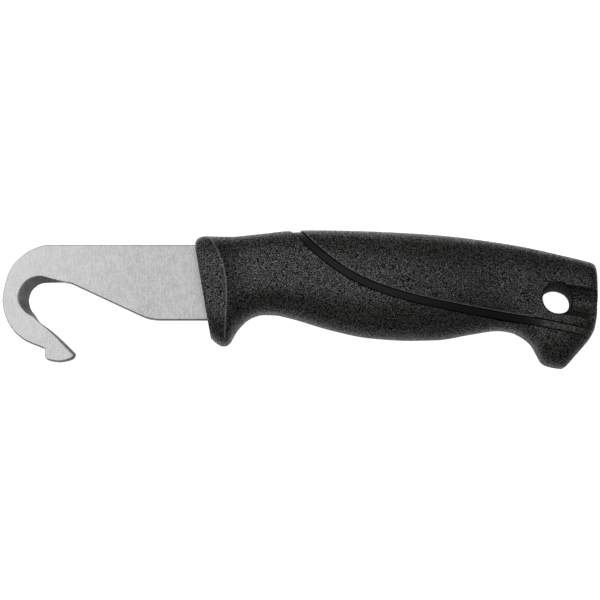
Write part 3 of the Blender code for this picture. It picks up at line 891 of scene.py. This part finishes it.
def brushed_steel(name):
    """Stainless steel brushed from spine to edge, with a darker finish where it is ground, painted
    shade along its rounded and sheared rims, and painted light towards the hook.
    """
    shader = Shader(name)
    lines = shader.noise(shader.stretch((4.2, 0.4, 0.5)), 1.0, 3.0, 0.7)
    cloud = shader.noise(shader.millimetres, 0.35, 3.0, 0.6)
    pits = shader.noise(shader.millimetres, 2.8, 1.0, 0.6)
    tone = shader.math("ADD", shader.math("MULTIPLY", lines, 0.55),
                       shader.math("ADD", shader.math("MULTIPLY", cloud, 0.12),
                                   shader.math("MULTIPLY", pits, 0.33)))
    share = shader.remap(tone, 0.415, 0.585, 0.0, 1.0)
    along = shader.add("ShaderNodeSeparateXYZ", "X", Vector=shader.millimetres)
    brushed = shader.blend(share, (0.36, 0.36, 0.365, 1.0), (0.55, 0.55, 0.55, 1.0))
    # painted light: the brushed flat is painted lighter towards the hook
    brushed = shader.blend(shader.remap(along, -45.0, -84.0, 0.0, 0.32), brushed,
                           (0.72, 0.72, 0.72, 1.0))
    # scratched is the ground finish of the bevel; on rounded edges it and the sheared colour are
    # painted shade, darkest at the rims
    scratched = shader.blend(share, (0.19, 0.18, 0.184, 1.0), (0.32, 0.31, 0.314, 1.0))
    sheared_and_shaded = shader.blend(share, (0.09, 0.09, 0.09, 1.0), (0.20, 0.20, 0.20, 1.0))
    ground_and_edge_shade = shader.reading("ground_and_edge_shade")
    worked_and_shaded = shader.blend(shader.remap(ground_and_edge_shade, 1.0, 2.0, 0.0, 1.0), scratched, sheared_and_shaded)
    colour = shader.blend(shader.remap(ground_and_edge_shade, 0.0, 1.0, 0.0, 1.0), brushed, worked_and_shaded)
    rough = shader.math("SUBTRACT", shader.remap(lines, 0.3, 0.7, 0.33, 0.44),
                        shader.math("MULTIPLY", ground_and_edge_shade, 0.06))
    return shader.finish(colour, rough, shader.bump(lines, 0.35, 0.012), metallic=1.0)


def grained_rubber(name):
    """Black moulded rubber with a fine eroded grain, glossier along its edges, where a highlight
    is also painted in lighter grey.
    """
    shader = Shader(name)
    grain = shader.noise(shader.millimetres, 3.9, 1.0, 0.6)
    coarse = shader.noise(shader.millimetres, 1.6, 1.0, 0.5)
    patches = shader.noise(shader.millimetres, 0.12, 2.0, 0.5)
    relief = shader.math("ADD", shader.math("MULTIPLY", grain, 0.88),
                         shader.math("MULTIPLY", coarse, 0.12))
    peaks = shader.remap(relief, 0.47, 0.62, 0.0, 1.0)
    wear_and_highlight = shader.math("MULTIPLY", shader.reading("wear_and_highlight"),
                       shader.remap(relief, 0.35, 0.6, 0.4, 1.0))
    matte = shader.reading("matte")
    grained = shader.blend(peaks, (0.001, 0.001, 0.001, 1.0), (0.040, 0.039, 0.035, 1.0))
    # painted highlight: a lighter grey along the collar's crease and the band's border
    colour = shader.blend(shader.math("MULTIPLY", wear_and_highlight, 0.75), grained, (0.24, 0.24, 0.23, 1.0))
    rough = shader.math("ADD", shader.remap(patches, 0.3, 0.7, 0.26, 0.32),
                        shader.math("MULTIPLY", matte, 0.4))
    gloss = shader.math("ADD", shader.remap(relief, 0.47, 0.60, 0.0, 1.12),
                        shader.math("MULTIPLY", wear_and_highlight, 0.3))
    gloss = shader.math("MULTIPLY", gloss, shader.remap(matte, 0.0, 1.0, 1.0, 0.3))
    return shader.finish(colour, rough, shader.bump(relief, 1.0, 0.045), specular=gloss)


def satin_plastic(name):
    """Smooth black core plastic, grained only where the rib comes up on the pommel."""
    shader = Shader(name)
    fine = shader.noise(shader.millimetres, 5.0, 2.0, 0.5)
    grain = shader.noise(shader.millimetres, 3.6, 1.0, 0.6)
    streaks = shader.noise(shader.stretch((0.08, 1.2, 1.2)), 1.0, 2.0, 0.5)
    along = shader.add("ShaderNodeSeparateXYZ", "X", Vector=shader.millimetres)
    grained = shader.remap(along, RIB_RISE[0] + 1.5, RIB_RISE[1], 0.0, 1.0)
    peaks = shader.remap(grain, 0.44, 0.62, 0.0, 1.0)
    colour = shader.blend(shader.math("MULTIPLY", grained, peaks),
                          (0.006, 0.006, 0.006, 1.0), (0.045, 0.044, 0.040, 1.0))
    rough = shader.remap(streaks, 0.3, 0.7, 0.34, 0.42)
    gloss = shader.math("ADD", shader.remap(grained, 0.0, 1.0, 0.16, 0.07),
                        shader.math("MULTIPLY", shader.math("MULTIPLY", grained, peaks), 0.95))
    height = shader.math("ADD", shader.math("MULTIPLY", fine, 0.05),
                         shader.math("MULTIPLY", grained, grain))
    return shader.finish(colour, rough, shader.bump(height, 1.0, 0.06), specular=gloss)


def pale_floor():
    """White paper on a light table: even to the camera, graded where the knife mirrors it."""
    shader = Shader("floor_paper")
    mottle = shader.noise(shader.millimetres, 0.02, 2.0, 0.5)
    colour = shader.blend(mottle, (0.60, 0.60, 0.60, 1.0), (0.63, 0.63, 0.63, 1.0))
    tooth = shader.noise(shader.millimetres, 2.0, 2.0, 0.5)
    away = shader.add("ShaderNodeLayerWeight", "Facing", Blend=0.5)
    across = shader.add("ShaderNodeSeparateXYZ", "Y", Vector=shader.millimetres)
    shader.feed(shader.surface.inputs["Emission Color"], (1.0, 1.0, 1.0, 1.0))
    mirrored = shader.remap(across, -20.0, 30.0, *FLOOR_GLOW)
    seen = shader.add("ShaderNodeLightPath", "Is Camera Ray")
    glow = shader.remap(seen, 0.0, 1.0, mirrored, FLOOR_WHITE)
    shader.feed(shader.surface.inputs["Emission Strength"],
                shader.math("MULTIPLY", glow, shader.remap(away, 0.2, 0.9, 1.0, GLOW_SPILL)))
    return shader.finish(colour, 0.9, shader.bump(tooth, 0.1, 0.02), specular=0.1)


# ============================================================================================
# studio, in metres
# ============================================================================================
CAMERA_DISTANCE = 0.790
CAMERA_ELEVATION = math.radians(80.4)
CAMERA_LENS = 158.0
SOFTBOX_PLACE = (-0.17, 0.2, 1.0)
SOFTBOX_SIZE = (0.9, 0.8)
SOFTBOX_POWER = 1.13 * math.pi * SOFTBOX_SIZE[0] * SOFTBOX_SIZE[1]
WALL_FACING = (-0.93, 0.37, 0.0)  # direction of the lightest wall, beyond the hook
WALL_RAMP = (0.1, 0.95)       # how far towards it the walls start and end growing lighter
WALL_DARK, WALL_LIGHT = 0.28, 1.0  # strength of the walls outside and inside that ramp
FLOOR_WHITE = 0.95            # glow of the paper as the camera sees it
FLOOR_GLOW = (0.26, 1.38)     # as the knife mirrors it, on the belly side and the spine side
GLOW_SPILL = 0.5              # the share of it that leaves at a flat angle
BACKDROP = 0.8                # the backdrop as the camera sees it
FLOOR_HALF_SIZE = 3.0
FLOOR_CLEARANCE = 0.0002      # the floor lies this far below the knife


def add_camera():
    data = bpy.data.cameras.new("camera")
    data.lens = CAMERA_LENS
    data.sensor_width = 36.0
    data.clip_start, data.clip_end = 0.05, 20.0
    camera = bpy.data.objects.new("camera", data)
    back = Vector((0.0, -math.cos(CAMERA_ELEVATION), math.sin(CAMERA_ELEVATION)))
    camera.location = ORIGIN + back * CAMERA_DISTANCE
    camera.rotation_euler = (-back).to_track_quat("-Z", "Y").to_euler()
    bpy.context.scene.collection.objects.link(camera)
    bpy.context.scene.camera = camera


def add_softbox():
    """One large soft light overhead that faces the knife."""
    data = bpy.data.lights.new("overhead_softbox", "AREA")
    data.shape = "RECTANGLE"
    data.size, data.size_y = SOFTBOX_SIZE
    data.energy = SOFTBOX_POWER
    light = bpy.data.objects.new("overhead_softbox", data)
    light.location = SOFTBOX_PLACE
    light.rotation_euler = (-light.location).to_track_quat("-Z", "Y").to_euler()
    bpy.context.scene.collection.objects.link(light)


def add_world():
    """Grey walls, lighter beyond the hook; the camera itself sees an even pale backdrop."""
    world = bpy.data.worlds.new("studio")
    world.use_nodes = True
    tree = world.node_tree
    walls = tree.nodes["Background"]
    walls.inputs["Color"].default_value = (1.0, 1.0, 1.0, 1.0)
    backdrop = tree.nodes.new("ShaderNodeBackground")
    backdrop.inputs["Strength"].default_value = BACKDROP
    backdrop.inputs["Color"].default_value = (1.0, 1.0, 1.0, 1.0)
    direction = tree.nodes.new("ShaderNodeTexCoord").outputs["Generated"]
    slope = tree.nodes.new("ShaderNodeVectorMath")
    slope.operation = "DOT_PRODUCT"
    slope.inputs[1].default_value = WALL_FACING
    tree.links.new(direction, slope.inputs[0])
    level = tree.nodes.new("ShaderNodeMapRange")
    level.interpolation_type = "SMOOTHSTEP"
    level.inputs["From Min"].default_value = WALL_RAMP[0]
    level.inputs["From Max"].default_value = WALL_RAMP[1]
    level.inputs["To Min"].default_value = WALL_DARK
    level.inputs["To Max"].default_value = WALL_LIGHT
    tree.links.new(slope.outputs["Value"], level.inputs["Value"])
    tree.links.new(level.outputs["Result"], walls.inputs["Strength"])
    chooser = tree.nodes.new("ShaderNodeMixShader")
    tree.links.new(tree.nodes.new("ShaderNodeLightPath").outputs["Is Camera Ray"],
                   chooser.inputs["Fac"])
    tree.links.new(walls.outputs["Background"], chooser.inputs[1])
    tree.links.new(backdrop.outputs["Background"], chooser.inputs[2])
    tree.links.new(chooser.outputs["Shader"], tree.nodes["World Output"].inputs["Surface"])
    bpy.context.scene.world = world


def add_floor():
    bm = bmesh.new()
    bmesh.ops.create_grid(bm, x_segments=2, y_segments=2, size=FLOOR_HALF_SIZE)
    mesh = bpy.data.meshes.new("floor")
    bm.to_mesh(mesh)
    bm.free()
    floor = bpy.data.objects.new("floor", mesh)
    floor.location = (0.0, 0.0, -FLOOR_CLEARANCE)
    mesh.materials.append(pale_floor())
    bpy.context.scene.collection.objects.link(floor)


# ============================================================================================
# assembly
# ============================================================================================
def place(piece, material, node):
    piece.data.materials.append(material)
    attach(piece, "root")
    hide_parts(node)


add_camera()
add_world()
add_softbox()
add_floor()

place(make_blade(), brushed_steel("blade_brushed"), "blade")
place(make_core(), satin_plastic("core_satin"), "handle_core")
place(make_front_grip(), grained_rubber("front_grip_rubber"), "front_grip")
place(make_back_grip(), grained_rubber("back_grip_rubber"), "back_grip")

bpy.context.scene.view_settings.view_transform = "Standard"
